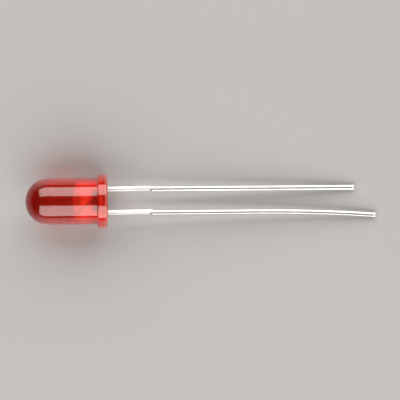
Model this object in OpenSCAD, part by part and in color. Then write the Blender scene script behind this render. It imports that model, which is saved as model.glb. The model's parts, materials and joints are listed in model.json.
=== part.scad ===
// Through-hole light emitting diode with a round 5 mm lens and two stamped leads.
//
// Every piece is drawn upright: Z is the lens axis with the dome up, Z = 0 is the lens underside,
// the leads stand side by side along Y (cathode at +Y) and X runs through the sheet of the lead frame.
// at_rest() then lays the part down as it comes to rest, on the rim of its flange and both lead tips.

/* [Lens] */
// Diameter of the lens barrel
lens_d = 5.0; // [4.2:0.1:8]
// Height from the underside to the top of the dome
lens_h = 8.8; // [7:0.1:14]
// How far the flange stands out from the barrel
flange_rim = 0.4; // [0.3:0.05:0.8]
// Thickness of the flange
flange_h = 1.05; // [0.8:0.05:1.6]
// Round on the lower rim of the flange
flange_foot_round = 0.22; // [0.1:0.02:0.3]
// Round on the upper rim of the flange
flange_top_round = 0.08; // [0.04:0.02:0.14]
// Fillet between the barrel and the flange
barrel_fillet = 0.1; // [0.06:0.02:0.14]

/* [Leads] */
// Distance between the centre lines of the leads
lead_pitch = 2.54; // [2:0.02:3.2]
// Side of the square lead, which is the thickness of its sheet
lead_w = 0.5; // [0.4:0.02:0.64]
// Radial cut that rounds the corners of the lead
lead_corner_cut = 0.045; // [0.02:0.005:0.06]
// Diameter of the lead beyond the trimmed stretch, where a coat of dipped solder rounds it
dip_d = 0.5; // [0.4:0.02:0.6]
// Length of the cathode lead below the lens
cathode_l = 26.6; // [20:0.1:34]
// Length of the anode lead below the lens, along its bend
anode_l = 28.9; // [25:0.1:36]

/* [Bend of the anode lead] */
// Straight length below the lens, before the bend that runs on to the tip
bend_start = 16.5; // [10:0.5:18]
// Radius of the bend
bend_r = 168; // [120:2:240]

/* [Trimmed tie bar] */
// Distance from the lens to the trimmed stretch
trim_start = 3.1; // [2.5:0.1:4]
// Length of the trimmed stretch
trim_l = 1.7; // [1:0.1:2]
// Sideways step that the trimming tool left
trim_step = 0.05; // [0.02:0.01:0.08]
// Slant of the trimmed end, along the lead
trim_slant = 0.3; // [0.1:0.05:0.5]

/* [Lead frame inside the lens] */
// Height of the cup rim and of the post above the underside
frame_h = 3.56; // [3.3:0.02:4.4]
// Height above the underside at which the leads widen into the legs of the frame
shoulder_z = 0.75; // [0.5:0.05:1]
// How far a leg stands out from its lead, away from the lens axis
shoulder_out = 0.05; // [0.02:0.01:0.2]
// How far a leg stands out from its lead, towards the lens axis
shoulder_in = 0.16; // [0.05:0.01:0.3]
// Height of the underside of the anvil and of the post's plate, between the legs
plate_z = 1.68; // [1.3:0.02:1.9]
// Fillet between a leg and its plate
leg_fillet = 0.15; // [0.05:0.01:0.2]
// Width of the slot between anvil and post, along Y
slot_w = 0.32; // [0.24:0.02:0.4]
// Distance from the lens axis to the middle of the foot of the slot, towards the cathode
slot_foot_y = 0; // [0:0.02:0.2]
// How far the anvil beside the cup stays below the cup rim
anvil_drop = 0.05; // [0.02:0.01:0.2]
// Round on the outer upper corner of the anvil
anvil_round = 0.7; // [0.3:0.05:0.9]
// Width of the top of the post, where the wire lands
post_top_w = 0.25; // [0.2:0.01:0.4]
// Bevel on the outer upper corner of the post
post_bevel = 0.08; // [0.04:0.01:0.2]

/* [Reflector cup] */
// Depth of the cup
cup_depth = 0.4; // [0.36:0.02:0.5]
// Slope of the cup wall from the lens axis
cup_flare = 33; // [20:1:38]
// Thickness of the cup wall at the rim
cup_wall = 0.15; // [0.1:0.01:0.2]
// Height of the straight band below the rim, on the outside of the cup
cup_band_h = 0.15; // [0.05:0.01:0.3]
// Height over which the cup swells out of the sheet, up to that band
cup_swell_h = 1.0; // [0.8:0.05:1.1]

/* [Chip and bond wire] */
// Side of the square die
die_w = 0.3; // [0.2:0.01:0.38]
// Height of the die
die_h = 0.2; // [0.15:0.01:0.26]
// Diameter of the contact on top of the die
contact_d = 0.12; // [0.1:0.01:0.16]
// Thickness of that contact
contact_h = 0.01; // [0.005:0.001:0.02]
// Bond line of adhesive under the die
bond_line = 0.03; // [0.02:0.005:0.04]
// Height that the adhesive climbs round the die
adhesive_h = 0.07; // [0.05:0.005:0.1]
// Rim of adhesive round the corners of the die
adhesive_rim = 0.06; // [0.03:0.01:0.1]
// Diameter of the bond wire
wire_d = 0.03; // [0.02:0.005:0.05]
// Diameter of the ball on the die
ball_d = 0.09; // [0.07:0.005:0.1]
// Height of the ball and of the stitch on the post
ball_h = 0.03; // [0.02:0.005:0.04]

/* [Hidden] */
$fn = 96;

// Margin by which a cutting tool overshoots the face that it cuts
overshoot = 0.2;
// How far a lead reaches up into its leg, and a leg into its plate
lead_overlap = 0.2;

lens_r = lens_d / 2;
flange_r = lens_r + flange_rim;
dome_z = lens_h - lens_r;

lead_y = lead_pitch / 2;
lead_half = lead_w / 2;
lead_outer = lead_y + lead_half;
leg_outer_y = lead_outer + shoulder_out;
leg_inner_y = lead_y - lead_half - shoulder_in;
lead_corner_r = lead_half * sqrt(2) - lead_corner_cut;
dip_r = dip_d / 2;
lead_root_z = shoulder_z + lead_overlap;
// Height inside the trimmed stretch where the square lead gives way to the dipped one
dip_z = -trim_start - trim_l / 2;

die_corner_r = die_w / sqrt(2);
cup_floor_r = die_corner_r + adhesive_rim;
cup_floor_z = frame_h - cup_depth;
cup_mouth_r = cup_floor_r + cup_depth * tan(cup_flare);
cup_rim_r = cup_mouth_r + cup_wall;
// Below its band, the outside of the cup is an arc that leaves the face of the sheet without a crease
cup_swell = cup_rim_r - lead_half;
cup_swell_r = (pow(cup_swell, 2) + pow(cup_swell_h, 2)) / (2 * cup_swell);

die_z = cup_floor_z + bond_line;
contact_z = die_z + die_h;
ball_z = contact_z + contact_h;
loop_z = ball_z + ball_h;

anvil_top_z = frame_h - anvil_drop;
post_outer_y = leg_outer_y - post_bevel;
post_inner_y = post_outer_y - post_top_w;
slot_top_y = -post_inner_y + slot_w / 2;

// The wire lands on the middle of the top of the post
stitch_y = (post_inner_y + post_outer_y) / 2;
// One arc leaves the ball straight up and comes down on the post
loop_rise = frame_h - loop_z;
loop_r = (pow(stitch_y, 2) + pow(loop_rise, 2)) / (2 * stitch_y);
loop_angle = atan2(loop_rise, loop_r - stitch_y);
// Extra turn that takes the arc into the plane of the post before it is cut flush
loop_overrun = 8;

// Tips of the leads: sideways from the lens axis, and down from the underside
bend_angle = (anode_l - bend_start) / bend_r * 180 / PI;
anode_tip_y = -lead_y - bend_r * (1 - cos(bend_angle));
anode_tip_z = -bend_start - bend_r * sin(bend_angle);
cathode_tip_y = lead_y;
cathode_tip_z = -cathode_l;

// The floor touches the flange on the circle where its lower round begins, and the round edge of both
// tips. Its upward normal is [floor_x, floor_y, 1] before it is made a unit.
floor_y = (cathode_tip_z - anode_tip_z) / (anode_tip_y - cathode_tip_y);
tip_drop = flange_foot_round - cathode_tip_z - floor_y * cathode_tip_y;
floor_x = sqrt(pow(tip_drop / (flange_r - dip_r), 2) - pow(floor_y, 2));

function unit(v) = v / norm(v);
floor_up = unit([floor_x, floor_y, 1]);
floor_along = unit([0, 0, -1] + floor_up[2] * floor_up);
floor_across = cross(floor_up, floor_along);

// Lowest point, and the middle of the laid part along the floor
floor_drop = flange_r * norm([floor_up[0], floor_up[1]]) - floor_up[2] * flange_foot_round;
dome_end = floor_along[2] * dome_z - lens_r;
anode_side = [0, cos(bend_angle), -sin(bend_angle)];
tip_reach = dip_r * norm([floor_along[0], floor_along * anode_side]);
tip_end = floor_along * [0, anode_tip_y, anode_tip_z] + tip_reach;
floor_middle = (dome_end + tip_end) / 2;

module at_rest() {
    multmatrix([
        concat(floor_along, [-floor_middle]),
        concat(floor_across, [0]),
        concat(floor_up, [floor_drop]),
        [0, 0, 0, 1]
    ])
        children();
}

// Lays a flat outline drawn in Y and Z into the sheet of the lead frame
module sheet(thickness = lead_w) {
    rotate([90, 0, 90])
        linear_extrude(height = thickness, center = true)
            children();
}

// Square with corners rounded about its own centre, as a stamped and plated lead has
module lead_section() {
    intersection() {
        square(lead_w, center = true);
        circle(r = lead_corner_r);
    }
}

// Straight lead from its leg of the frame into the trimmed stretch, and on as a dipped lead to its end
module lead_bar(end_z) {
    translate([0, 0, dip_z])
        linear_extrude(height = lead_root_z - dip_z)
            lead_section();
    translate([0, 0, end_z])
        cylinder(r = dip_r, h = dip_z - end_z);
}

// Slanted line that ends the trimmed stretch, as a height at a distance from the lead's centre line
function trim_end(y) = -trim_start - trim_l + trim_slant * (lead_half - y) / lead_w;

module trim_outline(from_y, to_y) {
    polygon([
        [from_y, -trim_start],
        [to_y, -trim_start],
        [to_y, trim_end(to_y)],
        [from_y, trim_end(from_y)]
    ]);
}

// A lead where the tie bar was sheared off: flat-sided, and a step to one side of the rest
module trimmed(lead_place) {
    difference() {
        children();
        translate([0, lead_place, 0])
            sheet(lead_w + overshoot)
                trim_outline(-lead_w, lead_w);
    }
    translate([0, lead_place, 0])
        sheet()
            trim_outline(trim_step - lead_half, trim_step + lead_half);
}

// Distance of the middle of the slot from the lens axis, at a height
function slot_y(z) =
    slot_foot_y + (slot_top_y - slot_foot_y) * (z - plate_z) / (frame_h - plate_z);

// Leg of the frame on the cathode's side, with the fillet that leads into the plate above it
module leg_outline() {
    translate([leg_inner_y, shoulder_z])
        square([leg_outer_y - leg_inner_y, plate_z - shoulder_z + lead_overlap]);
    translate([leg_inner_y - leg_fillet, plate_z - leg_fillet])
        difference() {
            square(leg_fillet + lead_overlap);
            circle(r = leg_fillet);
        }
}

module anvil_outline() {
    polygon([
        [slot_y(plate_z) + slot_w / 2, plate_z],
        [leg_outer_y, plate_z],
        [leg_outer_y, anvil_top_z - anvil_round],
        [leg_outer_y - anvil_round, anvil_top_z],
        [slot_y(anvil_top_z) + slot_w / 2, anvil_top_z]
    ]);
    translate([leg_outer_y - anvil_round, anvil_top_z - anvil_round])
        circle(r = anvil_round);
    leg_outline();
}

module post_outline() {
    polygon([
        [-leg_outer_y, plate_z],
        [slot_y(plate_z) - slot_w / 2, plate_z],
        [-post_inner_y, frame_h],
        [-post_outer_y, frame_h],
        [-leg_outer_y, frame_h - post_bevel]
    ]);
    mirror([1, 0])
        leg_outline();
}

// Outside of the cup, which the coining tool swelled out of both faces of the sheet
module cup_head() {
    translate([0, 0, frame_h - cup_band_h - cup_swell_h])
        rotate_extrude()
            difference() {
                square([cup_rim_r, cup_band_h + cup_swell_h]);
                translate([lead_half + cup_swell_r, 0])
                    circle(r = cup_swell_r);
            }
}

// Cone of the reflector, carried on past the rim so that it cuts a clean mouth
module cup_hollow() {
    translate([0, 0, cup_floor_z])
        cylinder(
            r1 = cup_floor_r,
            r2 = cup_mouth_r + overshoot * tan(cup_flare),
            h = cup_depth + overshoot
        );
}

module cathode_solid() {
    difference() {
        union() {
            trimmed(lead_y)
                translate([0, lead_y, 0])
                    lead_bar(cathode_tip_z);
            sheet()
                anvil_outline();
            cup_head();
        }
        cup_hollow();
    }
}

// End of the anode lead, which curves outwards
module anode_end() {
    translate([0, -lead_y - bend_r, -bend_start])
        rotate([90, 0, 90])
            rotate_extrude(angle = -bend_angle)
                translate([bend_r, 0])
                    circle(r = dip_r);
}

module anode_solid() {
    trimmed(-lead_y)
        translate([0, -lead_y, 0])
            lead_bar(-bend_start);
    anode_end();
    sheet()
        post_outline();
}

module die_solid() {
    translate([-die_w / 2, -die_w / 2, die_z])
        cube([die_w, die_w, die_h]);
    translate([0, 0, contact_z])
        cylinder(d = contact_d, h = contact_h);
}

module adhesive_solid() {
    difference() {
        translate([0, 0, cup_floor_z])
            cylinder(r1 = cup_floor_r, r2 = die_corner_r, h = adhesive_h);
        die_solid();
    }
}

module wire_loop() {
    translate([0, -loop_r, loop_z])
        rotate([90, 0, 90])
            rotate_extrude(angle = loop_angle + loop_overrun)
                translate([loop_r, 0])
                    circle(d = wire_d);
}

module wire_solid() {
    translate([0, 0, ball_z])
        cylinder(d = ball_d, h = ball_h);
    difference() {
        wire_loop();
        translate([-lead_half, -post_outer_y, frame_h - lead_w])
            cube([lead_w, post_top_w, lead_w]);
    }
    translate([0, -stitch_y, frame_h])
        cylinder(d = ball_d, h = ball_h / 2);
}

module lens_profile() {
    square([lens_r, dome_z]);
    intersection() {
        translate([0, dome_z])
            circle(r = lens_r);
        square([lens_r, lens_h]);
    }
    difference() {
        square([flange_r, flange_h]);
        rim_corner(flange_r, 0, flange_foot_round, 1);
        rim_corner(flange_r, flange_h, flange_top_round, -1);
    }
    difference() {
        translate([lens_r, flange_h])
            square(barrel_fillet);
        translate([lens_r + barrel_fillet, flange_h + barrel_fillet])
            circle(r = barrel_fillet);
    }
}

// What a round takes off the outer corner of a profile, below (up = 1) or above (up = -1)
module rim_corner(r, z, round_r, up) {
    difference() {
        translate([r - round_r, up > 0 ? z : z - round_r])
            square([round_r, round_r]);
        translate([r - round_r, z + up * round_r])
            circle(r = round_r);
    }
}

// The lens is cast round the lead frame, the chip and its wire
module lens() {
    color([0.80, 0.08, 0.05, 0.55])
        at_rest()
            difference() {
                rotate_extrude()
                    lens_profile();
                cathode_solid();
                anode_solid();
                die_solid();
                adhesive_solid();
                wire_solid();
            }
}

module cathode_lead() {
    color("gainsboro")
        at_rest()
            cathode_solid();
}

module anode_lead() {
    color("gainsboro")
        at_rest()
            anode_solid();
}

module led_die() {
    color("darkslategray")
        at_rest()
            die_solid();
}

module die_adhesive() {
    color("lightgray")
        at_rest()
            adhesive_solid();
}

module bond_wire() {
    color("gold")
        at_rest()
            wire_solid();
}

lens();
cathode_lead();
anode_lead();
led_die();
die_adhesive();
bond_wire();
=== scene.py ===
"""Looks of a red through-hole light emitting diode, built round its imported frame.

Pieces are modelled upright, in metres: Z is the lens axis with the dome up, Z = 0 is the lens underside, Y
runs across both leads towards the cathode and X faces out of the sheet of the lead frame. UPRIGHT then
carries them into the frame, where the part lies on the floor with its leads along X.
"""
import json
import math

import bmesh
import bpy
import numpy as np
from mathutils import Matrix, Vector, noise


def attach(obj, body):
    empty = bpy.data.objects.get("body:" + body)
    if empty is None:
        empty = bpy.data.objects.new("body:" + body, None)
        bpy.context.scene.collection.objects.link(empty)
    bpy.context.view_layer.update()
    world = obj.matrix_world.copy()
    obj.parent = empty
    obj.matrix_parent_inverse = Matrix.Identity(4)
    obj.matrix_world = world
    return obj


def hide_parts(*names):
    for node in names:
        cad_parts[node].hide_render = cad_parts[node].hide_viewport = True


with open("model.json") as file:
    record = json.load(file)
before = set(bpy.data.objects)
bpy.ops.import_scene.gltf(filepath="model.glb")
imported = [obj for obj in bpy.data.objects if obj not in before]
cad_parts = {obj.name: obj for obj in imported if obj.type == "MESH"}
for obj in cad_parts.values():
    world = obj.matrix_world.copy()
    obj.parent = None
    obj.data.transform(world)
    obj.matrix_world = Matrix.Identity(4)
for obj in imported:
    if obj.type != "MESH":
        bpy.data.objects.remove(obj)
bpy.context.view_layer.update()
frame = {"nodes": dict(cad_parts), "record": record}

MM = 0.001

# Places and sizes read from the frame
MOUNTS = {m["name"]: m for m in frame["record"]["mounts"]}


def mount_pos(name):
    return Vector(MOUNTS[name]["pos_m"])


SEAT = mount_pos("seating_face")
AXIS = Vector(MOUNTS["lens_barrel"]["axis"]).normalized()
ACROSS = (mount_pos("cathode_lead") - mount_pos("anode_lead")).normalized()
FACING = ACROSS.cross(AXIS).normalized()
UPRIGHT = Matrix((FACING, ACROSS, AXIS)).transposed().to_4x4()
UPRIGHT.translation = SEAT
TO_UPRIGHT = UPRIGHT.inverted()


def upright_points(node):
    """Vertices of a CAD node in the upright frame, one row each."""
    return np.array([TO_UPRIGHT @ v.co for v in frame["nodes"][node].data.vertices])


lens_points = upright_points("lens")
LENS_R = MOUNTS["lens_barrel"]["dims"]["r_mm"] * MM
LENS_H = lens_points[:, 2].max()
LENS_MIDDLE = UPRIGHT @ Vector((0, 0, LENS_H / 2))
FLANGE_R = np.hypot(lens_points[:, 0], lens_points[:, 1]).max()
FLANGE_H = (mount_pos("panel_shoulder") - SEAT).dot(AXIS)
DOME_Z = LENS_H - LENS_R
LEAD_Y = (mount_pos("cathode_lead") - mount_pos("anode_lead")).length / 2
CATHODE_L = -upright_points("cathode_lead")[:, 2].min()

# Rounds of the lens, as moulded
FOOT_ROUND = 0.22 * MM
TOP_ROUND = 0.08 * MM
BARREL_FILLET = 0.10 * MM
# Distance from a round to the loop that keeps the flat beside it flat in shading
SUPPORT = 0.02 * MM
LENS_SEGMENTS = 192
ROUND_STEPS = 8
DOME_STEPS = 48

# Leads
LEAD_HALF = 0.25 * MM
# Half width of a lead's dipped stretch, with its coat of solder
DIPPED_HALF = 0.265 * MM
# Thins the dipped section, so that its turned face stays within the thickness of the lead
DIPPED_FIT = 0.984
LEAD_CORNER = 0.04 * MM
ANODE_L = 28.9 * MM
BEND_START = 16.5 * MM
BEND_R = 168 * MM
TRIM_START = 3.1 * MM
TRIM_END = 4.8 * MM
TRIM_STEP = 0.05 * MM
# Slope of the trimmed end against the lead's width
TRIM_SLOPE = 0.6
# Heights inside the lens: the top of the modelled leads, in the frame plates, and the foot of those plates
LEAD_ROOT = 0.9 * MM
PLATE_FOOT = 0.745 * MM
# Slope of a lead's broad faces at their edges, along its stamped, trimmed and dipped stretches
STAMPED_BULGE = math.radians(20)
TRIMMED_BULGE = math.radians(14)
DIPPED_BULGE = math.radians(34)
FACE_STEPS = 16
CORNER_STEPS = 4
# Turn of each lead about its own length
CATHODE_TURN = math.radians(4)
ANODE_TURN = math.radians(12)
# How far the stamped stretch drifts towards the side of the trimmed one
TRIM_DRIFT = 0.045 * MM
STAMPED_STEPS = 8
# Gap between the two rings of a sharp step
EDGE_GAP = 0.006 * MM
# Notch at the start of the dipped stretch: its depth as shares of the thickness and of the width, its
# length, and where across the lead it starts and has its full depth
NOTCH_DEPTH = 0.66
NOTCH_BITE = 0.20
NOTCH_LENGTH = 0.20 * MM
NOTCH_STEPS = 6
NOTCH_START = 0.08 * MM
NOTCH_FULL = -0.02 * MM
# Length over which the slanted start of the dipped stretch turns square
SLANT_FADE = 0.9 * MM
RING_STEP = 0.12 * MM
# Waves that the solder left when it set: half their depth as a share of the section, and their length
WAVE_SHARE = 0.008
WAVE_LENGTH = 2.2 * MM
TIP_ROUND = 0.05 * MM
TIP_STEPS = 4
# Length of the matt end that the shears left
SHEARED_TIP = 0.20 * MM
# Edges that turn by more than this stay sharp in shading
SMOOTH_ANGLE = math.radians(32)
WELD_DISTANCE = 0.0005 * MM

# Material slots of a lead
PLATED_SLOT = 0
DIPPED_SLOT = 1
FRAME_SLOT = 2

# Epoxy: absorption of red, green and blue per metre, its gloss, and the clear skin over it
EPOXY_ABSORB = (15, 420, 600)
EPOXY_IOR = 1.54
EPOXY_GLOSS_TINT = (0.6, 0.20, 0.15)
EPOXY_BLUR = (0.285, 0.30)
EPOXY_GRAIN = (900, 900, 900)
SKIN_IOR = 1.74
SKIN_ROUGHNESS = 0.03
# Skin by height above the underside, thinner towards the top of the dome: (height, weight)
SKIN_LEVELS = ((7.00 * MM, 1), (7.80 * MM, 0.35))
# Epoxy by height above the underside: (height, colour, share of clear light). The cloudy bands in the flange
# and round the frame plates are partly the epoxy's own haze and partly painted glow, set band by band to
# stand in for light inside the epoxy there; the paler, cloudier foot paints a pale band of light along its
# round, and the darker colour at the top of the dome paints shade there.
EPOXY_LEVELS_AND_PAINTED_LIGHT = (
    (0.00 * MM, (0.92, 0.20, 0.14), 0.50),
    (0.24 * MM, (0.92, 0.16, 0.11), 0.50),
    (0.36 * MM, (0.97, 0.03, 0.015), 0.72),
    (0.52 * MM, (0.97, 0.025, 0.012), 0.70),
    (0.70 * MM, (0.98, 0.04, 0.02), 0.46),
    (0.86 * MM, (0.97, 0.025, 0.012), 0.68),
    (0.98 * MM, (0.97, 0.025, 0.012), 0.76),
    (1.15 * MM, (0.98, 0.05, 0.025), 0.92),
    (1.60 * MM, (0.98, 0.05, 0.025), 0.90),
    (2.50 * MM, (0.98, 0.09, 0.04), 0.74),
    (3.00 * MM, (0.98, 0.06, 0.03), 0.84),
    (3.80 * MM, (0.98, 0.08, 0.04), 0.95),
    (4.50 * MM, (0.98, 0.10, 0.05), 0.99),
    (6.00 * MM, (0.98, 0.10, 0.05), 0.99),
    (7.40 * MM, (0.62, 0.05, 0.025), 0.99),
)

# Grain of the other materials, as noise scales per metre along X, Y and Z
DRAWN_GRAIN = (700, 14000, 14000)
DIPPED_GRAIN = (900, 5000, 5000)
ROLLED_GRAIN = (1500, 3000, 3000)
PASTE_GRAIN = (40000, 40000, 40000)
SAWN_GRAIN = (30000, 8000, 30000)
# Metals: darkest and lightest colour, span of roughness, grain, bump strength and bump height
MATTE_TIN = ((0.84, 0.84, 0.82), (0.92, 0.92, 0.90), (0.46, 0.56), DRAWN_GRAIN, 0.15, 0.01 * MM)
DIPPED_SOLDER = ((0.60, 0.60, 0.59), (0.70, 0.70, 0.69), (0.32, 0.38), DIPPED_GRAIN, 0.05, 0.01 * MM)
SILVER_PLATE = ((0.94, 0.92, 0.89), (0.98, 0.97, 0.94), (0.34, 0.46), ROLLED_GRAIN, 1.0, 0.3 * MM)
GOLD_WIRE = ((0.88, 0.62, 0.24), (0.94, 0.70, 0.32), (0.15, 0.25), ROLLED_GRAIN, 0.05, 0.002 * MM)
SILVER_PASTE = ((0.50, 0.50, 0.48), (0.70, 0.70, 0.68), (0.45, 0.70), PASTE_GRAIN, 0.4, 0.01 * MM)
# Semiconductor: the same values
CRYSTAL = ((0.07, 0.06, 0.06), (0.14, 0.11, 0.10), (0.20, 0.35), SAWN_GRAIN, 0.1, 0.002 * MM)
# Part of a noise's range that carries most of its values
NOISE_LOW = 0.3
NOISE_HIGH = 0.7
NOISE_DETAIL = 3.0

# Materials


def new_material(name):
    mat = bpy.data.materials.new(name)
    mat.use_nodes = True
    nodes = mat.node_tree.nodes
    return mat, nodes, mat.node_tree.links, nodes["Principled BSDF"]


def stretched_noise(nodes, links, scale):
    """Noise in the object's own coordinates, with its own scale along X, Y and Z, per metre."""
    coord = nodes.new("ShaderNodeTexCoord")
    mapping = nodes.new("ShaderNodeMapping")
    mapping.inputs["Scale"].default_value = scale
    texture = nodes.new("ShaderNodeTexNoise")
    texture.inputs["Scale"].default_value = 1.0
    texture.inputs["Detail"].default_value = NOISE_DETAIL
    links.new(coord.outputs["Object"], mapping.inputs["Vector"])
    links.new(mapping.outputs["Vector"], texture.inputs["Vector"])
    return texture.outputs["Fac"]


def spread(nodes, links, source, low, high, source_low=NOISE_LOW, source_high=NOISE_HIGH):
    """Value between low and high that follows a source."""
    span = nodes.new("ShaderNodeMapRange")
    span.inputs["From Min"].default_value = source_low
    span.inputs["From Max"].default_value = source_high
    span.inputs["To Min"].default_value = low
    span.inputs["To Max"].default_value = high
    links.new(source, span.inputs["Value"])
    return span.outputs["Result"]


def color_ramp(nodes, links, source, stops):
    """Colour that follows a source, from stops of (position, colour)."""
    ramp = nodes.new("ShaderNodeValToRGB")
    elements = ramp.color_ramp.elements
    while len(elements) < len(stops):
        elements.new(1)
    for element, (position, color) in zip(elements, stops):
        element.position = position
        element.color = (*color, 1)
    links.new(source, ramp.inputs["Fac"])
    return ramp.outputs["Color"]


def add_bump(nodes, links, shader, source, strength, distance):
    bump = nodes.new("ShaderNodeBump")
    bump.inputs["Strength"].default_value = strength
    bump.inputs["Distance"].default_value = distance
    links.new(source, bump.inputs["Height"])
    links.new(bump.outputs["Normal"], shader.inputs["Normal"])


def epoxy_level(nodes, links):
    """Height above the underside as a share of the height of the lens."""
    coord = nodes.new("ShaderNodeTexCoord")
    height = nodes.new("ShaderNodeVectorMath")
    height.operation = "DOT_PRODUCT"
    height.inputs[1].default_value = AXIS
    links.new(coord.outputs["Object"], height.inputs[0])
    seat_height = SEAT.dot(AXIS)
    return spread(nodes, links, height.outputs["Value"], 0, 1, seat_height, seat_height + LENS_H)


def epoxy_material():
    """Red epoxy, clear in the dome and darker with depth; cloudy bands round the frame and in the flange
    paint glow inside it, its paler foot paints a band of light, and a darker dome top paints shade.
    """
    mat, nodes, links, shader = new_material("red_epoxy")
    shader.inputs["IOR"].default_value = EPOXY_IOR
    shader.inputs["Specular Tint"].default_value = (*EPOXY_GLOSS_TINT, 1)
    shader.inputs["Coat IOR"].default_value = SKIN_IOR
    shader.inputs["Coat Roughness"].default_value = SKIN_ROUGHNESS
    level = epoxy_level(nodes, links)
    # Colour and clear share by height carry the painted glow round the frame and in the flange, the painted
    # pale foot and the painted shade at the top of the dome.
    colors = [(z / LENS_H, color) for z, color, clear in EPOXY_LEVELS_AND_PAINTED_LIGHT]
    clears = [(z / LENS_H, (clear, clear, clear)) for z, color, clear in EPOXY_LEVELS_AND_PAINTED_LIGHT]
    links.new(color_ramp(nodes, links, level, colors), shader.inputs["Base Color"])
    links.new(color_ramp(nodes, links, level, clears), shader.inputs["Transmission Weight"])
    skins = [(z / LENS_H, (weight, weight, weight)) for z, weight in SKIN_LEVELS]
    links.new(color_ramp(nodes, links, level, skins), shader.inputs["Coat Weight"])
    grain = stretched_noise(nodes, links, EPOXY_GRAIN)
    links.new(spread(nodes, links, grain, *EPOXY_BLUR), shader.inputs["Roughness"])
    absorb = nodes.new("ShaderNodeVolumeAbsorption")
    density = max(EPOXY_ABSORB)
    absorb.inputs["Color"].default_value = (*(1 - a / density for a in EPOXY_ABSORB), 1)
    absorb.inputs["Density"].default_value = density
    links.new(absorb.outputs["Volume"], nodes["Material Output"].inputs["Volume"])
    return mat


def grained_material(name, metallic, dark, light, roughness, scale, bump_strength, bump_height):
    """Material whose tone, gloss and surface follow one grain."""
    mat, nodes, links, shader = new_material(name)
    shader.inputs["Metallic"].default_value = metallic
    grain = stretched_noise(nodes, links, scale)
    stops = [(NOISE_LOW, dark), (NOISE_HIGH, light)]
    links.new(color_ramp(nodes, links, grain, stops), shader.inputs["Base Color"])
    links.new(spread(nodes, links, grain, *roughness), shader.inputs["Roughness"])
    add_bump(nodes, links, shader, grain, bump_strength, bump_height)
    return mat


epoxy = epoxy_material()
plated = grained_material("matte_tin", 1, *MATTE_TIN)
solder = grained_material("dipped_solder", 1, *DIPPED_SOLDER)
silver = grained_material("silver_plate", 1, *SILVER_PLATE)
gold = grained_material("gold_wire", 1, *GOLD_WIRE)
paste = grained_material("silver_paste", 1, *SILVER_PASTE)
crystal = grained_material("crystal", 0, *CRYSTAL)

# Meshes


def add_object(name, mesh, materials):
    obj = bpy.data.objects.new(name, mesh)
    bpy.context.scene.collection.objects.link(obj)
    for mat in materials:
        mesh.materials.append(mat)
    return obj


def finish_mesh(bm, name):
    """Lays the upright mesh into the frame and turns its faces outwards."""
    bm.transform(UPRIGHT)
    bmesh.ops.recalc_face_normals(bm, faces=bm.faces)
    for face in bm.faces:
        face.smooth = True
    mesh = bpy.data.meshes.new(name)
    bm.to_mesh(mesh)
    bm.free()
    return mesh


def arc(centre_r, centre_z, radius, start, end, steps):
    """Points of a circular arc in a half section, angles in degrees from outwards to up."""
    turns = [math.radians(start + (end - start) * i / steps) for i in range(steps + 1)]
    return [(centre_r + radius * math.cos(a), centre_z + radius * math.sin(a)) for a in turns]


def lens_profile():
    """Half section of the lens, from the edge of its flat underside to just under the top of its dome."""
    points = [(FLANGE_R - FOOT_ROUND - SUPPORT, 0)]
    points += arc(FLANGE_R - FOOT_ROUND, FOOT_ROUND, FOOT_ROUND, -90, 0, ROUND_STEPS)
    points += [(FLANGE_R, FOOT_ROUND + SUPPORT), (FLANGE_R, FLANGE_H - TOP_ROUND - SUPPORT)]
    points += arc(FLANGE_R - TOP_ROUND, FLANGE_H - TOP_ROUND, TOP_ROUND, 0, 90, ROUND_STEPS)
    points += [(FLANGE_R - TOP_ROUND - SUPPORT, FLANGE_H), (LENS_R + BARREL_FILLET + SUPPORT, FLANGE_H)]
    fillet = arc(LENS_R + BARREL_FILLET, FLANGE_H + BARREL_FILLET, BARREL_FILLET, 180, 270, ROUND_STEPS)
    points += fillet[::-1]
    points += [(LENS_R, FLANGE_H + BARREL_FILLET + SUPPORT), (LENS_R, DOME_Z - SUPPORT)]
    points += arc(0, DOME_Z, LENS_R, 0, 90, DOME_STEPS)[:-1]
    return points


def revolve(profile, top_z, segments):
    """Closed surface of revolution about Z: a flat disc below, the profile, and a point at the top."""
    bm = bmesh.new()
    turns = [2 * math.pi * i / segments for i in range(segments)]
    rings = []
    for r, z in profile:
        rings.append([bm.verts.new((r * math.cos(a), r * math.sin(a), z)) for a in turns])
    for low, high in zip(rings, rings[1:]):
        for i in range(segments):
            j = (i + 1) % segments
            bm.faces.new((low[i], low[j], high[j], high[i]))
    top = bm.verts.new((0, 0, top_z))
    foot = bm.verts.new((0, 0, profile[0][1]))
    for i in range(segments):
        j = (i + 1) % segments
        bm.faces.new((rings[-1][i], rings[-1][j], top))
        bm.faces.new((rings[0][j], rings[0][i], foot))
    return bm


def make_lens():
    bm = revolve(lens_profile(), LENS_H, LENS_SEGMENTS)
    lens = add_object("epoxy_lens", finish_mesh(bm, "epoxy_lens"), [epoxy])
    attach(lens, "root")
    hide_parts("lens")


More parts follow.
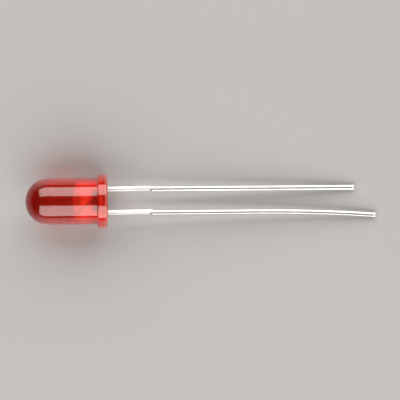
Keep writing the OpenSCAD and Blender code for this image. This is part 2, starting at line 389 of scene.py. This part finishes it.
def section(bulge, turn, half_width=LEAD_HALF):
    """Cross section of a lead as (X, Y) points: bulged broad faces, rounded corners and flat sides."""
    face_edge = half_width - LEAD_CORNER * (1 - math.sin(bulge))
    face_r = face_edge / math.sin(bulge)
    face = []
    for i in range(FACE_STEPS + 1):
        angle = bulge * (2 * i / FACE_STEPS - 1)
        face.append((LEAD_HALF - face_r * (1 - math.cos(angle)), face_r * math.sin(angle)))
    corner_x = face[-1][0] - LEAD_CORNER * math.cos(bulge)
    corner_y = face[-1][1] - LEAD_CORNER * math.sin(bulge)
    corner = []
    for i in range(1, CORNER_STEPS + 1):
        angle = bulge + (math.pi / 2 - bulge) * i / CORNER_STEPS
        corner.append((corner_x + LEAD_CORNER * math.cos(angle), corner_y + LEAD_CORNER * math.sin(angle)))
    upper = [(x, -y) for x, y in reversed(corner)] + face + corner
    points = upper + [(-x, -y) for x, y in upper]
    c = math.cos(turn)
    s = math.sin(turn)
    return [(x * c - y * s, x * s + y * c) for x, y in points]


def lead_path(length_down, bent):
    """Point of a lead's centre line and its sideways direction, in Y and Z, at a length below the lens."""
    if not bent or length_down <= BEND_START:
        return (0, -length_down), (1, 0)
    angle = (length_down - BEND_START) / BEND_R
    y = -BEND_R * (1 - math.cos(angle))
    z = -BEND_START - BEND_R * math.sin(angle)
    return (y, z), (math.cos(angle), -math.sin(angle))


def slanted_end(y):
    """Length below the lens where the trimmed stretch ends, at a distance from the lead's centre line."""
    return TRIM_END - TRIM_SLOPE * (LEAD_HALF - y)


def notch(y, along):
    """Share of the full notch at a place across a lead and a length behind its start."""
    across = min(1, max(0, (NOTCH_START - y) / (NOTCH_START - NOTCH_FULL)))
    return across * max(0, 1 - along / NOTCH_LENGTH)


def dipped_ring(points, along, dipped_l):
    """One ring of the dipped stretch, at a length behind its start."""
    slant = max(0, 1 - along / SLANT_FADE)
    ring = []
    for x, y in points:
        down = TRIM_END + EDGE_GAP + along * (1 - EDGE_GAP / dipped_l)
        down -= slant * TRIM_SLOPE * (LEAD_HALF - y)
        place = Vector((down / WAVE_LENGTH, x / LEAD_HALF, y / LEAD_HALF))
        size = 1 - WAVE_SHARE * (1 + noise.noise(place))
        cut = notch(y, along)
        ring.append((x * size * (1 - NOTCH_DEPTH * cut), y * size * (1 - NOTCH_BITE * cut), down))
    return ring


def lead_rings(length, turn):
    """Rings of (X, Y, length below the lens) along one lead, and the first ring of its dipped stretch."""
    stamped = section(STAMPED_BULGE, turn)
    trimmed = [(x, y + TRIM_STEP) for x, y in section(TRIMMED_BULGE, turn)]
    dipped = [(x * DIPPED_FIT, y) for x, y in section(DIPPED_BULGE, turn, DIPPED_HALF)]
    rings = [[(x, y, -LEAD_ROOT) for x, y in stamped]]
    for i in range(STAMPED_STEPS + 1):
        share = i / STAMPED_STEPS
        down = (TRIM_START - EDGE_GAP) * share
        rings.append([(x, y + TRIM_DRIFT * share ** 2, down) for x, y in stamped])
    rings.append([(x, y, TRIM_START) for x, y in trimmed])
    rings.append([(x, y, slanted_end(y)) for x, y in trimmed])
    first_dipped = len(rings)
    dipped_l = length - TRIM_END
    plain_l = dipped_l - NOTCH_LENGTH
    steps = int(plain_l / RING_STEP)
    stations = [NOTCH_LENGTH * i / NOTCH_STEPS for i in range(NOTCH_STEPS)]
    stations += [NOTCH_LENGTH + plain_l * i / steps for i in range(steps + 1)]
    rings += [dipped_ring(dipped, along, dipped_l) for along in stations]
    return rings, first_dipped


def round_tip(rings):
    """Swaps the last ring for rings that round off the edge of the tip."""
    last = rings.pop()
    for i in range(TIP_STEPS + 1):
        angle = math.pi / 2 * i / TIP_STEPS
        shrink = 1 - TIP_ROUND / LEAD_HALF * (1 - math.cos(angle))
        back = TIP_ROUND * (1 - math.sin(angle))
        rings.append([(x * shrink, y * shrink, down - back) for x, y, down in last])


def sweep_lead(bm, side, length, bent, turn):
    """Adds one lead as a closed tube, with its dipped stretch in a slot of its own."""
    rings, first_dipped = lead_rings(length, turn)
    round_tip(rings)
    loops = []
    for ring in rings:
        loop = []
        for x, y, down in ring:
            (path_y, path_z), (side_y, side_z) = lead_path(down, bent)
            loop.append(bm.verts.new((x, side * LEAD_Y + path_y + y * side_y, path_z + y * side_z)))
        loops.append(loop)
    for r, (low, high) in enumerate(zip(loops, loops[1:])):
        reach = min(down for x, y, down in rings[r + 1])
        dipped = r + 1 >= first_dipped and reach < length - SHEARED_TIP
        for i in range(len(low)):
            j = (i + 1) % len(low)
            face = bm.faces.new((low[i], low[j], high[j], high[i]))
            face.material_index = DIPPED_SLOT if dipped else PLATED_SLOT
    for end in (loops[0], loops[-1]):
        bm.faces.new(end).material_index = PLATED_SLOT


def add_frame_plates(bm, node):
    """Adds the stamped frame inside the lens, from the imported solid, closed under its plates."""
    plates = bmesh.new()
    plates.from_mesh(frame["nodes"][node].data)
    plates.transform(TO_UPRIGHT)
    bmesh.ops.remove_doubles(plates, verts=plates.verts, dist=WELD_DISTANCE)
    everything = list(plates.verts) + list(plates.edges) + list(plates.faces)
    cut = bmesh.ops.bisect_plane(plates, geom=everything, plane_co=(0, 0, PLATE_FOOT), plane_no=(0, 0, -1),
                                 clear_outer=True)
    edges = [e for e in cut["geom_cut"] if isinstance(e, bmesh.types.BMEdge)]
    bmesh.ops.holes_fill(plates, edges=edges)
    copied = {v: bm.verts.new(v.co) for v in plates.verts}
    for face in plates.faces:
        new = bm.faces.new([copied[v] for v in face.verts])
        new.material_index = FRAME_SLOT
    plates.free()


def make_lead(node, side, length, bent, turn):
    bm = bmesh.new()
    sweep_lead(bm, side, length, bent, turn)
    add_frame_plates(bm, node)
    mesh = finish_mesh(bm, node + "_metal")
    mesh.set_sharp_from_angle(angle=SMOOTH_ANGLE)
    lead = add_object(node + "_metal", mesh, [plated, solder, silver])
    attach(lead, "root")
    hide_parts(node)


make_lens()
make_lead("cathode_lead", side=1, length=CATHODE_L, bent=False, turn=CATHODE_TURN)
make_lead("anode_lead", side=-1, length=ANODE_L, bent=True, turn=ANODE_TURN)

for node, mat in (("led_die", crystal), ("die_adhesive", paste), ("bond_wire", gold)):
    mesh = frame["nodes"][node].data
    mesh.materials.clear()
    mesh.materials.append(mat)

# Stage
FLOOR_SIZE = 3
FLOOR_COLOR = (0.42, 0.42, 0.42)
FLOOR_ROUGHNESS = 0.45
FLOOR_SPECULAR = 0.5


def make_floor():
    bpy.ops.mesh.primitive_plane_add(size=FLOOR_SIZE)
    floor = bpy.context.object
    floor.name = "floor"
    mat, _, _, shader = new_material("pale_floor")
    shader.inputs["Base Color"].default_value = (*FLOOR_COLOR, 1)
    shader.inputs["Roughness"].default_value = FLOOR_ROUGHNESS
    shader.inputs["Specular IOR Level"].default_value = FLOOR_SPECULAR
    floor.data.materials.append(mat)


make_floor()

# Softboxes on both sides of the part, with a dark gap overhead: (name, side, tilt, width)
SOFTBOXES = (
    ("softbox_cathode_side", 1, math.radians(50.2), 0.350),
    ("softbox_anode_side", -1, math.radians(48.8), 0.418),
)
LIGHT_DISTANCE = 0.40
LIGHT_LENGTH = 0.66
LIGHT_RADIANCE = 3.1
LIGHT_COLOR = (1.0, 0.965, 0.925)
WORLD_STRENGTH = 0.015


def make_softbox(name, side, tilt, width):
    data = bpy.data.lights.new(name, "AREA")
    data.shape = "RECTANGLE"
    data.size = LIGHT_LENGTH
    data.size_y = width
    data.energy = LIGHT_RADIANCE * math.pi * LIGHT_LENGTH * width
    data.color = LIGHT_COLOR
    light = bpy.data.objects.new(name, data)
    light.location = (
        LENS_MIDDLE.x,
        side * LIGHT_DISTANCE * math.sin(tilt),
        LIGHT_DISTANCE * math.cos(tilt),
    )
    light.rotation_euler = (-side * tilt, 0, 0)
    bpy.context.scene.collection.objects.link(light)


for softbox in SOFTBOXES:
    make_softbox(*softbox)

world = bpy.data.worlds.new("studio")
world.use_nodes = True
background = world.node_tree.nodes["Background"]
background.inputs["Color"].default_value = (1, 1, 1, 1)
background.inputs["Strength"].default_value = WORLD_STRENGTH
bpy.context.scene.world = world

# Camera
CAMERA_DISTANCE = 0.30
CAMERA_CLIP = (0.01, 10)
PIXELS_PER_MM = 9.305
IMAGE_WIDTH = 400
SENSOR_WIDTH = 36
# Middle of the picture: towards the cathode from the lens axis, and up from the lens underside
PICTURE_MIDDLE = (0.032 * MM, -9.96 * MM)
CAMERA_ROLL = math.radians(0.47)


def make_camera():
    data = bpy.data.cameras.new("camera")
    data.sensor_width = SENSOR_WIDTH
    data.lens = PIXELS_PER_MM / MM * CAMERA_DISTANCE * SENSOR_WIDTH / IMAGE_WIDTH
    data.clip_start, data.clip_end = CAMERA_CLIP
    camera = bpy.data.objects.new("camera", data)
    view_up = (Vector((0, 0, 1)) - AXIS * AXIS.z).normalized()
    place = LENS_MIDDLE + ACROSS * PICTURE_MIDDLE[0] + view_up * CAMERA_DISTANCE
    target = UPRIGHT @ Vector((0, *PICTURE_MIDDLE))
    back = (place - target).normalized()
    right = Vector((0, 1, 0)).cross(back).normalized()
    up = back.cross(right)
    turn = Matrix((right, up, back)).transposed()
    turn = turn @ Matrix.Rotation(-CAMERA_ROLL, 3, "Z")
    camera.matrix_world = Matrix.Translation(place) @ turn.to_4x4()
    bpy.context.scene.collection.objects.link(camera)
    bpy.context.scene.camera = camera


make_camera()
bpy.context.scene.view_settings.view_transform = "Standard"
